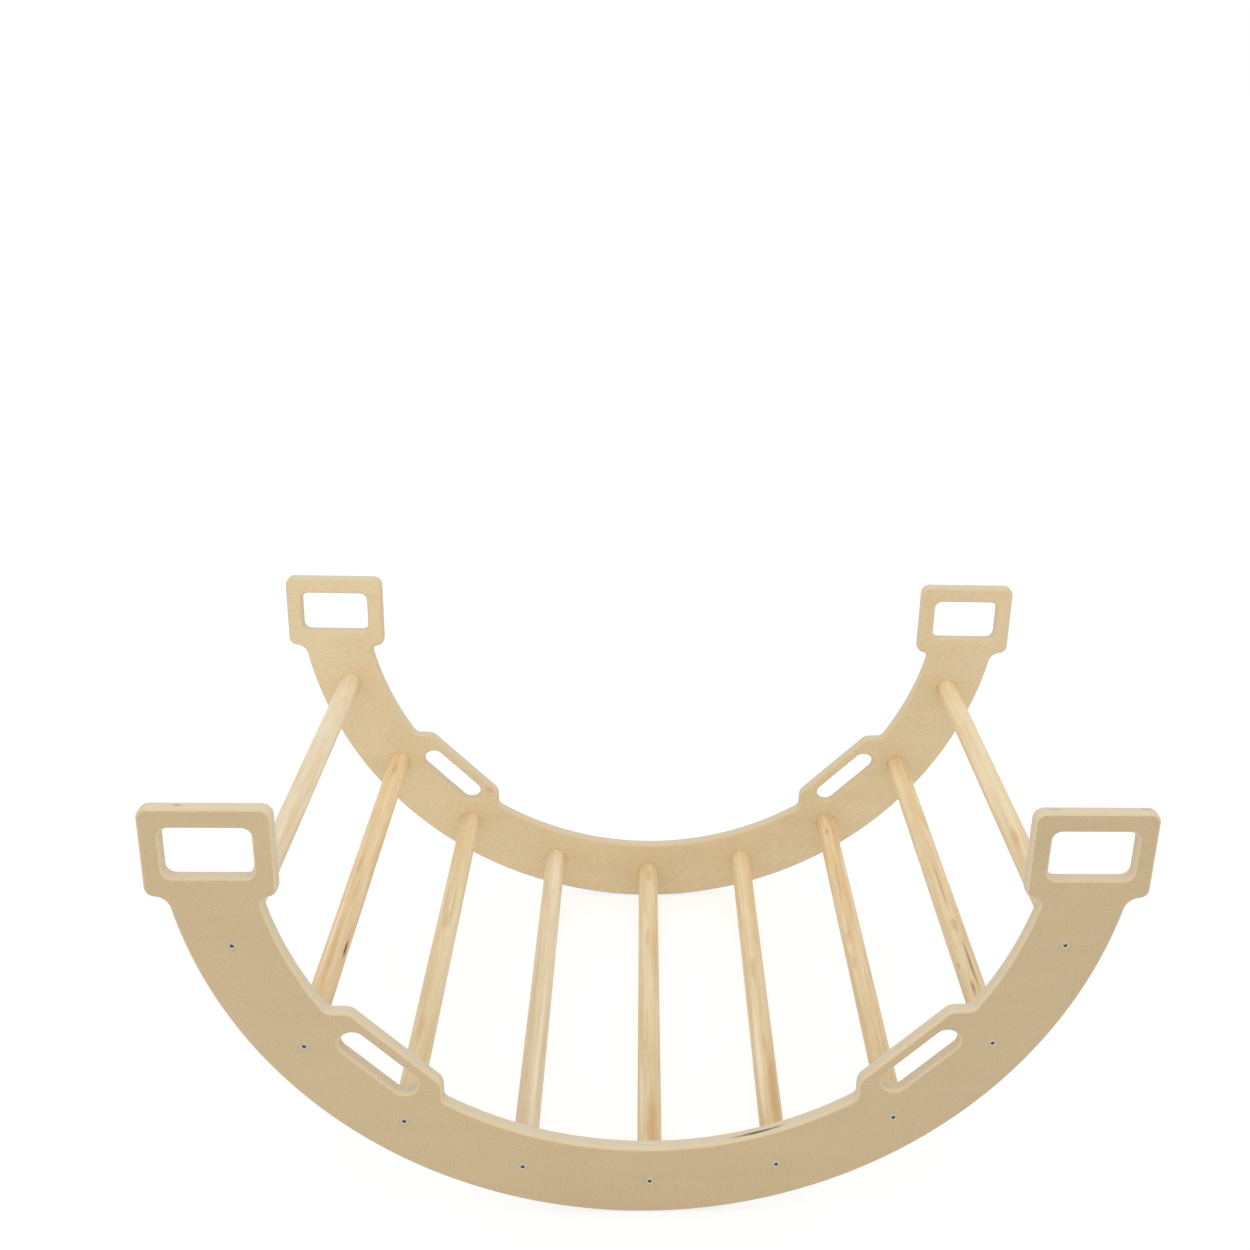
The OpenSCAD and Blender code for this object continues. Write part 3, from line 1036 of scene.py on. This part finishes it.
@dataclass(frozen=True)
class SidePanel:
    """A side panel, cut from one board: a curved band with a handle at each end and two side grips.

    Every edge is rounded over, the holes are cut right through, and each rung has a round socket in the
    inner face with a countersunk screw hole behind it.
    """

    sizes: ArchSizes
    handle_out: float = 15.0
    handle_in: float = 27.0
    hand_hole_side_wall: float = 21.0
    hand_hole_top_wall: float = 23.0
    hand_hole_r: float = 10.0
    handle_top_r: float = 12.0
    handle_bottom_r: float = 11.0
    outer_fillet_r: float = 16.0
    inner_fillet_r: float = 9.0
    grip_rise: float = 25.0
    grip_slope: float = 45.0
    grip_corner_r: float = 17.0
    grip_fillet_r: float = 10.0
    slot_l: float = 102.0
    slot_w: float = 28.0
    slot_edge_wall: float = 13.5
    slot_end_wall: float = 15.5
    edge_steps: int = 8

    @property
    def grip_angle(self) -> float:
        """Angle of a side grip, from straight down: between the second and the third rung."""
        return self.sizes.last_rung_angle - 1.5 * self.sizes.rung_pitch

    @property
    def handle_x(self) -> tuple[float, float]:
        """Distances of a handle's inner and outer side from the middle."""
        return self.sizes.arc_inner_r - self.handle_in, self.sizes.arc_outer_r + self.handle_out

    def handle_bends(self) -> list[Bend]:
        """The arcs of the right-hand handle.

        Returns:
            The arcs, from the outer edge of the band round to the inner one.
        """
        sizes = self.sizes
        inner_x, outer_x = self.handle_x
        bottom_y = sizes.handle_rise - sizes.handle_h + self.handle_bottom_r
        top_y = sizes.handle_rise - self.handle_top_r
        bottom_out = np.array([outer_x - self.handle_bottom_r, bottom_y])
        bottom_in = np.array([inner_x + self.handle_bottom_r, bottom_y])
        hollow_out = touching_centre(
            sizes.arc_outer_r + self.outer_fillet_r, bottom_out, self.handle_bottom_r + self.outer_fillet_r
        )
        hollow_in = touching_centre(
            sizes.arc_inner_r - self.inner_fillet_r, bottom_in, self.handle_bottom_r + self.inner_fillet_r
        )
        return [
            Bend((0, 0), sizes.arc_outer_r, -90, heading(hollow_out)),
            Bend(
                hollow_out, self.outer_fillet_r,
                heading(hollow_out) + 180, heading(bottom_out - hollow_out),
            ),
            Bend(bottom_out, self.handle_bottom_r, heading(hollow_out - bottom_out), 0),
            Bend((outer_x - self.handle_top_r, top_y), self.handle_top_r, 0, 90),
            Bend((inner_x + self.handle_top_r, top_y), self.handle_top_r, 90, 180),
            Bend(bottom_in, self.handle_bottom_r, 180, heading(hollow_in - bottom_in) + 360),
            Bend(hollow_in, self.inner_fillet_r, heading(bottom_in - hollow_in), heading(hollow_in)),
        ]

    def grip_bends(self) -> list[Bend]:
        """The arcs of the right-hand side grip, drawn lying and then turned.

        Its sloping ends run into the band by a hollow, whose centre is its radius away from the slope and
        from the band's edge.

        Returns:
            The arcs, from its upper end to its lower one.
        """
        flat_y = self.grip_rise - self.sizes.arc_inner_r
        half_l = self.slot_l / 2 + self.slot_end_wall
        corner = np.array([
            half_l - self.grip_corner_r * tan(radians(self.grip_slope / 2)), flat_y - self.grip_corner_r
        ])
        slope_normal = along(90 - self.grip_slope)
        reach = np.array([half_l, flat_y]) @ slope_normal + self.grip_fillet_r
        run = sqrt((self.sizes.arc_inner_r - self.grip_fillet_r) ** 2 - reach**2)
        hollow = reach * slope_normal + run * along(-self.grip_slope)
        mirror = np.array([-1.0, 1.0])
        lying = [
            Bend(hollow, self.grip_fillet_r, heading(hollow), -90 - self.grip_slope),
            Bend(corner, self.grip_corner_r, 90 - self.grip_slope, 90),
            Bend(corner * mirror, self.grip_corner_r, 90, 90 + self.grip_slope),
            Bend(hollow * mirror, self.grip_fillet_r, self.grip_slope - 90, -180 - heading(hollow)),
        ]
        return [bend.turned(self.grip_angle) for bend in lying]

    def outline(self) -> Outline:
        """The whole outline of the panel.

        Returns:
            The right half from the bottom of the band, and its mirror image.
        """
        handle = self.handle_bends()
        grip = self.grip_bends()
        inner_r = self.sizes.arc_inner_r
        upper = Bend((0, 0), inner_r, handle[-1].end, grip[0].start)
        lower = Bend((0, 0), inner_r, grip[-1].end, -90)
        return Outline.through([*handle, upper, *grip, lower]).with_mirror_image()

    def hand_hole(self, side: int) -> Outline:
        """The hole in a handle, an oblong with round corners.

        Args:
            side: -1 for the left handle, 1 for the right one.

        Returns:
            Its outline.
        """
        inner_x, outer_x = self.handle_x
        half_w = (outer_x - inner_x) / 2 - self.hand_hole_side_wall - self.hand_hole_r
        half_h = self.sizes.handle_h / 2 - self.hand_hole_top_wall - self.hand_hole_r
        corners = [
            (half_w, half_h, 90), (half_w, -half_h, 0), (-half_w, -half_h, -90), (-half_w, half_h, -180),
        ]
        hole = Outline.through(Bend((x, y), self.hand_hole_r, turn, turn - 90) for x, y, turn in corners)
        middle = (side * (inner_x + outer_x) / 2, self.sizes.handle_rise - self.sizes.handle_h / 2)
        return hole.moved(middle)

    def slot(self, side: int) -> Outline:
        """The slot in a side grip, with round ends.

        Args:
            side: -1 for the left grip, 1 for the right one.

        Returns:
            Its outline.
        """
        half_l = (self.slot_l - self.slot_w) / 2
        slot = Outline.through([
            Bend((half_l, 0), self.slot_w / 2, 90, -90), Bend((-half_l, 0), self.slot_w / 2, -90, -270)
        ])
        radius = self.sizes.arc_inner_r - self.grip_rise + self.slot_edge_wall + self.slot_w / 2
        angle = side * self.grip_angle
        return slot.moved(radius * along(angle - 90), angle)

    def edge_profile(self) -> Array:
        """Levels of an edge: a quarter circle from the inner face, a flat, and one to the outer face.

        At a tilt t the inset is r (1 - cos t), and the height is r (1 + sin t) below the flat, or the
        panel's thickness less r (1 - sin t) above it.

        Returns:
            The inset, height and tilt of each level.
        """
        radius = self.sizes.edge_r
        tilt = np.linspace(0, 90, self.edge_steps + 1)
        inset = radius * (1 - np.cos(np.radians(tilt)))
        depth = radius * (1 - np.sin(np.radians(tilt)))
        upper = np.stack([inset, self.sizes.panel_t - depth, tilt], 1)
        lower = np.stack([inset, depth, -tilt], 1)[::-1]
        return np.concatenate([lower, upper])

    def patches(self) -> list[Patch]:
        """The surfaces of the panel: rounded walls, screw holes and sockets, and its two faces.

        Returns:
            The patches, with the panel lying on its inner face.
        """
        sizes = self.sizes
        loops = [self.outline(), *(cut(side) for cut in (self.hand_hole, self.slot) for side in (-1, 1))]
        profile = self.edge_profile()
        walls = [swept_wall(loop, profile) for loop in loops]
        rim_r = sizes.head_d / 2 + sizes.screw_clearance
        bore_r = sizes.shank_d / 2 + sizes.screw_clearance
        socket_r = sizes.rung_d / 2 + sizes.socket_clearance
        rim_h = sizes.panel_t - sizes.head_rim
        cut = [
            (rim_r, sizes.panel_t), (rim_r, rim_h), (sizes.head_d / 2, rim_h),
            (bore_r, rim_h - sizes.head_d / 2 + bore_r), (bore_r, sizes.socket_depth),
            (socket_r, sizes.socket_depth), (socket_r, 0.0),
        ]
        for centre in sizes.rung_centres:
            walls += lathed(cut, sizes.round_steps, centre)
        faces = [loop.inset(sizes.edge_r) for loop in loops]
        rims = [circle(centre, rim_r, sizes.round_steps) for centre in sizes.rung_centres]
        sockets = [circle(centre, socket_r, sizes.round_steps) for centre in sizes.rung_centres]
        outer = filled_face(faces + rims, sizes.panel_t, faces_up=True)
        inner = filled_face(faces + sockets, 0.0, faces_up=False)
        return [*walls, outer, inner]


@dataclass(frozen=True)
class Rung:
    """A dowel with bevelled ends and a pilot hole for a screw in each end."""

    sizes: ArchSizes
    number: int
    bevel: float = 1.0
    pilot_d: float = 5.8
    pilot_spare: float = 3.0
    steps_along: int = 24

    @property
    def pilot_depth(self) -> float:
        """Depth of a pilot hole: the part of the screw in the rung, and a little to spare."""
        return self.sizes.screw_l - self.sizes.panel_t + self.sizes.socket_depth + self.pilot_spare

    def patches(self) -> list[Patch]:
        """The surfaces of the rung: its profile turned around an axis along Y.

        Returns:
            The patches, with the rung in its place in the arch.
        """
        sizes = self.sizes
        end = sizes.inner_w / 2 + sizes.socket_depth
        radius, bore = sizes.rung_d / 2, self.pilot_d / 2
        body = [(radius, y) for y in np.linspace(self.bevel - end, end - self.bevel, self.steps_along + 1)]
        profile = [
            (0.0, self.pilot_depth - end), (bore, self.pilot_depth - end), (bore, -end),
            (radius - self.bevel, -end), *body, (radius - self.bevel, end),
            (bore, end), (bore, end - self.pilot_depth), (0.0, end - self.pilot_depth),
        ]
        x, height = sizes.rung_centres[self.number - 1]
        lying = np.array([[1, 0, 0], [0, 0, 1], [0, -1, 0]], float)
        middle = (x, 0, height + sizes.arc_outer_r)
        return [patch.placed(lying, middle) for patch in lathed(profile, sizes.round_steps)]


@dataclass(frozen=True)
class Screw:
    """A countersunk screw with a hexagon socket and a coarse thread, pointing down from the origin."""

    sizes: ArchSizes
    core_d: float = 4.4
    thread_d: float = 6.6
    thread_pitch: float = 3.0
    tooth_w: float = 0.6
    tip_h: float = 4.0
    tip_part: float = 0.25
    hex_w: float = 4.0
    hex_depth: float = 2.6
    hex_bevel: float = 0.25
    hex_point: float = 0.6
    head_bevel: float = 0.2
    count: int = 24
    rows_per_turn: int = 8

    @property
    def shank_end(self) -> float:
        """Height at which the shank ends and the thread begins: at the end of the rung."""
        return self.sizes.socket_depth - self.sizes.panel_t

    @property
    def turn(self) -> Array:
        """Parts of a turn around the screw."""
        return np.arange(self.count + 1) / self.count

    def ring(self, radius: Array | float, height: float) -> Array:
        """Points around the screw at a height."""
        points = np.broadcast_to(radius, self.turn.shape)[:, None] * along(360 * self.turn)
        return np.concatenate([points, np.full((self.count + 1, 1), height)], 1)

    def hexagon(self, width: float, height: float) -> Array:
        """Points around a hexagon: at an angle a, the radius is w / 2 over cos(a, measured from a flat)."""
        from_flat = (360 * self.turn + 30) % 60 - 30
        return self.ring(width / 2 / np.cos(np.radians(from_flat)), height)

    def thread(self) -> Patch:
        """The threaded end, as a surface over angle and height.

        The radius is the core's plus the depth of the thread times a tooth, 1 - |2 f - 1| / w where that
        is above 0, with f the part of a turn of the helix. It fades in below the shank and out at the tip.

        Returns:
            The surface, from the tip to the shank.
        """
        bottom = -self.sizes.screw_l
        rows = ceil((self.shank_end - bottom) / self.thread_pitch * self.rows_per_turn)
        height = np.linspace(bottom, self.shank_end, rows + 1)[:, None]
        part = np.mod(height / self.thread_pitch - self.turn, 1.0)
        tooth = np.clip(1 - np.abs(2 * part - 1) / self.tooth_w, 0, 1)
        from_tip = (height - bottom) / self.tip_h
        fade = np.clip((self.shank_end - height) / self.thread_pitch, 0, 1) * np.clip(from_tip, 0, 1)
        core = np.clip(from_tip, self.tip_part, 1) * self.core_d / 2
        radius = (core + fade * tooth * (self.thread_d - self.core_d) / 2)[..., None]
        rise = np.broadcast_to(height[..., None], radius.shape)
        return grid_patch(np.concatenate([radius * along(360 * self.turn), rise], -1))

    def patches(self) -> list[Patch]:
        """The surfaces of the screw.

        Returns:
            The patches, with the top of the head on the origin.
        """
        sizes = self.sizes
        head_r, shank_r = sizes.head_d / 2, sizes.shank_d / 2
        tip = [(0.0, -sizes.screw_l), (self.tip_part * self.core_d / 2, -sizes.screw_l)]
        head = [
            (self.core_d / 2, self.shank_end), (shank_r, self.shank_end),
            (shank_r, -sizes.head_rim - head_r + shank_r), (head_r, -sizes.head_rim),
            (head_r, -self.head_bevel), (head_r - self.head_bevel, 0.0),
        ]
        socket = np.stack([
            self.ring(head_r - self.head_bevel, 0.0),
            self.hexagon(self.hex_w + 2 * self.hex_bevel, 0.0),
            self.hexagon(self.hex_w, -self.hex_bevel),
            self.hexagon(self.hex_w, -self.hex_depth),
            self.ring(0.0, -self.hex_depth - self.hex_point),
        ])
        turned = [patch for profile in (tip, head) for patch in lathed(profile, self.count)]
        return [*turned, self.thread(), grid_patch(socket)]


# A gap between plies under rung 6, small spots on the handles, and one on the rear left grip
PANEL_MARKS = (
    Mark((119.0, -295.8, 108.0), (42.0, 2.3, 18.0), Figure.OPEN_PLY, 0.95),
    Mark((-475.0, -294.0, 520.0), (6.0, 1.6, 3.0), Figure.DUSTY, 0.8),
    Mark((404.0, -293.5, 520.0), (12.0, 1.8, 3.0), Figure.DUSTY, 0.4),
    Mark((501.0, -292.5, 520.0), (9.0, 1.6, 3.0), Figure.DUSTY, 0.45),
    Mark((-237.0, 286.0, 184.0), (9.0, 3.0, 7.0), Figure.BLUSH, 0.5),
)
# Knots, resin streaks and pale and golden bands of the rungs, from each rung's own middle
RUNG_MARKS = {
    2: (
        Mark((-6.0, -120.0, 12.6), (2.6, 130.0, 2.6), Figure.PALE, 0.7),
        Mark((0.3, -172.0, 14.0), (4.5, 75.0, 4.0), Figure.GOLDEN, 0.6),
        Mark((4.0, -50.0, 13.4), (3.5, 36.0, 3.5), Figure.TAN, 0.5),
        Mark((-1.3, 8.0, 13.9), (3.4, 26.0, 3.0), Figure.GOLDEN, 0.6),
        Mark((12.0, -140.0, 7.0), (3.0, 50.0, 3.6), Figure.ROSY, 0.6),
        Mark((12.4, -149.5, 6.5), (2.6, 19.0, 2.6), Figure.DEAD_KNOT, 0.95),
        Mark((1.6, 242.0, 13.9), (5.0, 22.0, 5.0), Figure.GOLDEN, 0.6),
    ),
    3: (
        Mark((-1.4, -173.0, 13.9), (6.0, 32.0, 6.0), Figure.GOLDEN, 0.6),
        Mark((1.0, 30.0, 14.0), (7.0, 24.0, 6.0), Figure.TAN, 0.5),
        Mark((-5.7, 76.0, 12.8), (2.4, 50.0, 2.4), Figure.TAN, 0.6),
        Mark((4.6, 72.0, 13.2), (2.4, 54.0, 2.4), Figure.TAN, 0.6),
    ),
    4: (
        Mark((-7.0, 11.0, 12.1), (2.4, 130.0, 2.4), Figure.TAN, 0.5),
        Mark((5.7, -110.0, 12.8), (3.5, 160.0, 3.5), Figure.PALE, 0.5),
    ),
    5: (
        Mark((-10.0, -190.0, 9.8), (3.4, 90.0, 5.0), Figure.PALE, 0.6),
        Mark((2.5, -236.0, 13.6), (9.0, 62.0, 8.0), Figure.GOLDEN, 0.75),
        Mark((-5.5, -102.0, 12.9), (3.0, 12.0, 3.0), Figure.TAN, 0.5),
        Mark((-1.5, 110.0, 13.9), (4.5, 24.0, 4.0), Figure.TAN, 0.55),
        Mark((0.0, 254.0, 14.0), (6.0, 17.0, 6.0), Figure.GOLDEN, 0.5),
    ),
    6: (
        Mark((-8.2, -150.0, 11.3), (4.5, 130.0, 5.0), Figure.PALE, 0.7),
        Mark((5.0, -205.0, 13.0), (7.5, 88.0, 7.0), Figure.GOLDEN, 0.75),
        Mark((0.5, -128.0, 14.0), (3.6, 24.0, 3.4), Figure.ROSY, 0.4),
        Mark((-1.6, 15.0, 13.9), (6.0, 30.0, 5.0), Figure.TAN, 0.5),
    ),
    7: (
        Mark((-8.6, -54.0, 11.0), (4.6, 22.0, 4.0), Figure.ROSY, 0.4),
        Mark((-7.6, -2.0, 11.7), (6.0, 18.0, 5.0), Figure.ROSY, 0.35),
        Mark((-4.1, 241.0, 13.4), (3.4, 12.0, 3.4), Figure.BROWN, 0.55),
    ),
    8: (
        Mark((-12.0, -183.0, 7.2), (2.6, 8.0, 2.6), Figure.BROWN, 0.65),
        Mark((-4.9, -227.0, 13.1), (3.0, 15.0, 3.0), Figure.KNOT, 0.7),
        Mark((1.0, -184.0, 14.0), (2.4, 52.0, 2.2), Figure.KNOT, 0.8),
        Mark((-1.9, -115.0, 13.9), (5.5, 16.0, 5.0), Figure.BROWN, 0.45),
        Mark((-2.6, -32.0, 13.8), (1.8, 56.0, 1.8), Figure.BROWN, 0.6),
    ),
    9: (
        Mark((0.0, 60.0, 14.0), (12.0, 280.0, 12.0), Figure.PALE, 0.35),
        Mark((-6.8, -119.0, 12.3), (6.0, 30.0, 5.0), Figure.GOLDEN, 0.65),
    ),
}


@dataclass(frozen=True)
class Arch:
    """The whole arch: two side panels, the rungs between them and a row of screws in each panel."""

    sizes: ArchSizes = ArchSizes()
    rung_tones: Sequence[PineTone] = (
        PineTone.CREAM, PineTone.ROSY, PineTone.STRAW, PineTone.CREAM, PineTone.STRAW,
        PineTone.HONEY, PineTone.ROSY, PineTone.HONEY, PineTone.HONEY,
    )
    # How far apart along the trunk two rungs were cut, in metres
    piece_step: float = 1.7

    def finished(self, obj: bpy.types.Object, node: str, material: bpy.types.Material) -> None:
        """Dresses a piece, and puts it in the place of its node.

        Args:
            obj: The piece.
            node: The node that it replaces.
            material: Its finish.
        """
        obj.data.materials.append(material)
        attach(obj, BODY)
        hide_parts(node)
        low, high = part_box(node)
        corners = np.array([v.co for v in obj.data.vertices])
        off = max(np.abs(corners.min(0) - low).max(), np.abs(corners.max(0) - high).max()) / MM
        log.info("%s stands for %s, whose box it fits to %.2f mm", obj.name, node, off)

    def build_panels(self) -> None:
        """Makes the two side panels."""
        plywood = BirchPlywood(self.sizes.outer_face, self.sizes.panel_t, PANEL_MARKS)
        material = plywood.material("birch_plywood")
        patches = SidePanel(self.sizes).patches()
        for side in Side:
            name = side.name.lower()
            panel = mesh_object(f"panel_{name}", [side.stood(patch, self.sizes) for patch in patches])
            self.finished(panel, f"side_panel_{name}", material)

    def build_rungs(self) -> None:
        """Makes the rungs, each with its own piece of wood."""
        for number, (x, height) in enumerate(self.sizes.rung_centres, start=1):
            rung = mesh_object(f"dowel_{number}", Rung(self.sizes, number).patches())
            middle = (x, 0.0, height + self.sizes.arc_outer_r)
            tone, marks = self.rung_tones[number - 1], RUNG_MARKS.get(number, ())
            pine = PineDowel(middle, self.piece_step * number, tone, marks)
            self.finished(rung, f"rung_{number}", pine.material(f"pine_dowel_{number}"))

    def build_screws(self) -> None:
        """Makes the two rows of screws."""
        material = ZincPlatedSteel(self.sizes.outer_face).material("zinc_plated_steel")
        screw = Screw(self.sizes).patches()
        flat = np.eye(3)
        for side in Side:
            row = [
                side.stood(patch.placed(flat, (*centre, self.sizes.panel_t)), self.sizes)
                for centre in self.sizes.rung_centres
                for patch in screw
            ]
            name = side.name.lower()
            self.finished(mesh_object(f"screws_{name}", row), f"{name}_screws", material)


# ---------------------------------------------------------------- studio and camera


@dataclass(frozen=True)
class Studio:
    """A pale floor under soft, even light. Its sizes are in metres."""

    floor_size: float = 80.0
    ambient: float = 0.88
    key_watts: float = 5.0
    key_size: float = 1.5
    key_place: tuple[float, float, float] = (-0.15, -0.5, 2.2)

    def build(self) -> None:
        """Makes the floor, the surroundings and the lamp."""
        self.build_floor()
        self.build_surroundings()
        self.build_key()
        bpy.context.scene.view_settings.view_transform = "Standard"

    def build_floor(self) -> None:
        """Lays the floor, a square."""
        half = self.floor_size / 2
        mesh = bpy.data.meshes.new("floor")
        corners = [(-half, -half, 0), (half, -half, 0), (half, half, 0), (-half, half, 0)]
        mesh.from_pydata(corners, [], [(0, 1, 2, 3)])
        mesh.materials.append(MattWhiteFloor().material("matt_white_floor"))
        floor = bpy.data.objects.new("floor", mesh)
        bpy.context.scene.collection.objects.link(floor)

    def build_surroundings(self) -> None:
        """Gives even light from all sides, and white where the camera looks past the floor."""
        world = bpy.data.worlds.new("studio")
        world.use_nodes = True
        world.node_tree.nodes.clear()
        add = partial(add_node, world.node_tree)
        strength = add("MapRange", {0: seen_directly(add)} | ranges((0.0, 1.0), (self.ambient, 1.0)))
        light = add("Background", {"Color": WHITE, "Strength": strength})
        add("OutputWorld", {"Surface": light})
        bpy.context.scene.world = world

    def build_key(self) -> None:
        """Hangs a wide soft lamp above the arch, a little to the front."""
        lamp = bpy.data.lights.new("key", "AREA")
        lamp.shape = "DISK"
        lamp.size = self.key_size
        lamp.energy = self.key_watts
        key = bpy.data.objects.new("key", lamp)
        key.location = self.key_place
        key.visible_camera = False
        bpy.context.scene.collection.objects.link(key)


@dataclass(frozen=True)
class PhotoCamera:
    """The photograph's camera: place in millimetres, turns in degrees, lens, and reach in metres."""

    place: tuple[float, float, float] = (-30.4, -1467.6, 1256.3)
    turns: tuple[float, float, float] = (70.853, -2.100, -2.792)
    lens: float = 38.674
    shift: tuple[float, float] = (-0.0705, -0.09996)
    sees_to: float = 200.0

    def build(self) -> None:
        """Sets the camera up."""
        data = bpy.data.cameras.new("photo_camera")
        data.lens = self.lens
        data.shift_x, data.shift_y = self.shift
        data.clip_end = self.sees_to
        camera = bpy.data.objects.new("photo_camera", data)
        camera.location = [value * MM for value in self.place]
        camera.rotation_euler = [radians(turn) for turn in self.turns]
        bpy.context.scene.collection.objects.link(camera)
        bpy.context.scene.camera = camera


def main() -> None:
    """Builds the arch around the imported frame, and notes its box before and after."""
    logging.basicConfig(level=logging.INFO, format="%(message)s")
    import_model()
    PhotoCamera().build()
    arch = Arch()
    arch.build_panels()
    arch.build_rungs()
    arch.build_screws()
    Studio().build()


if __name__ == "__main__":
    main()
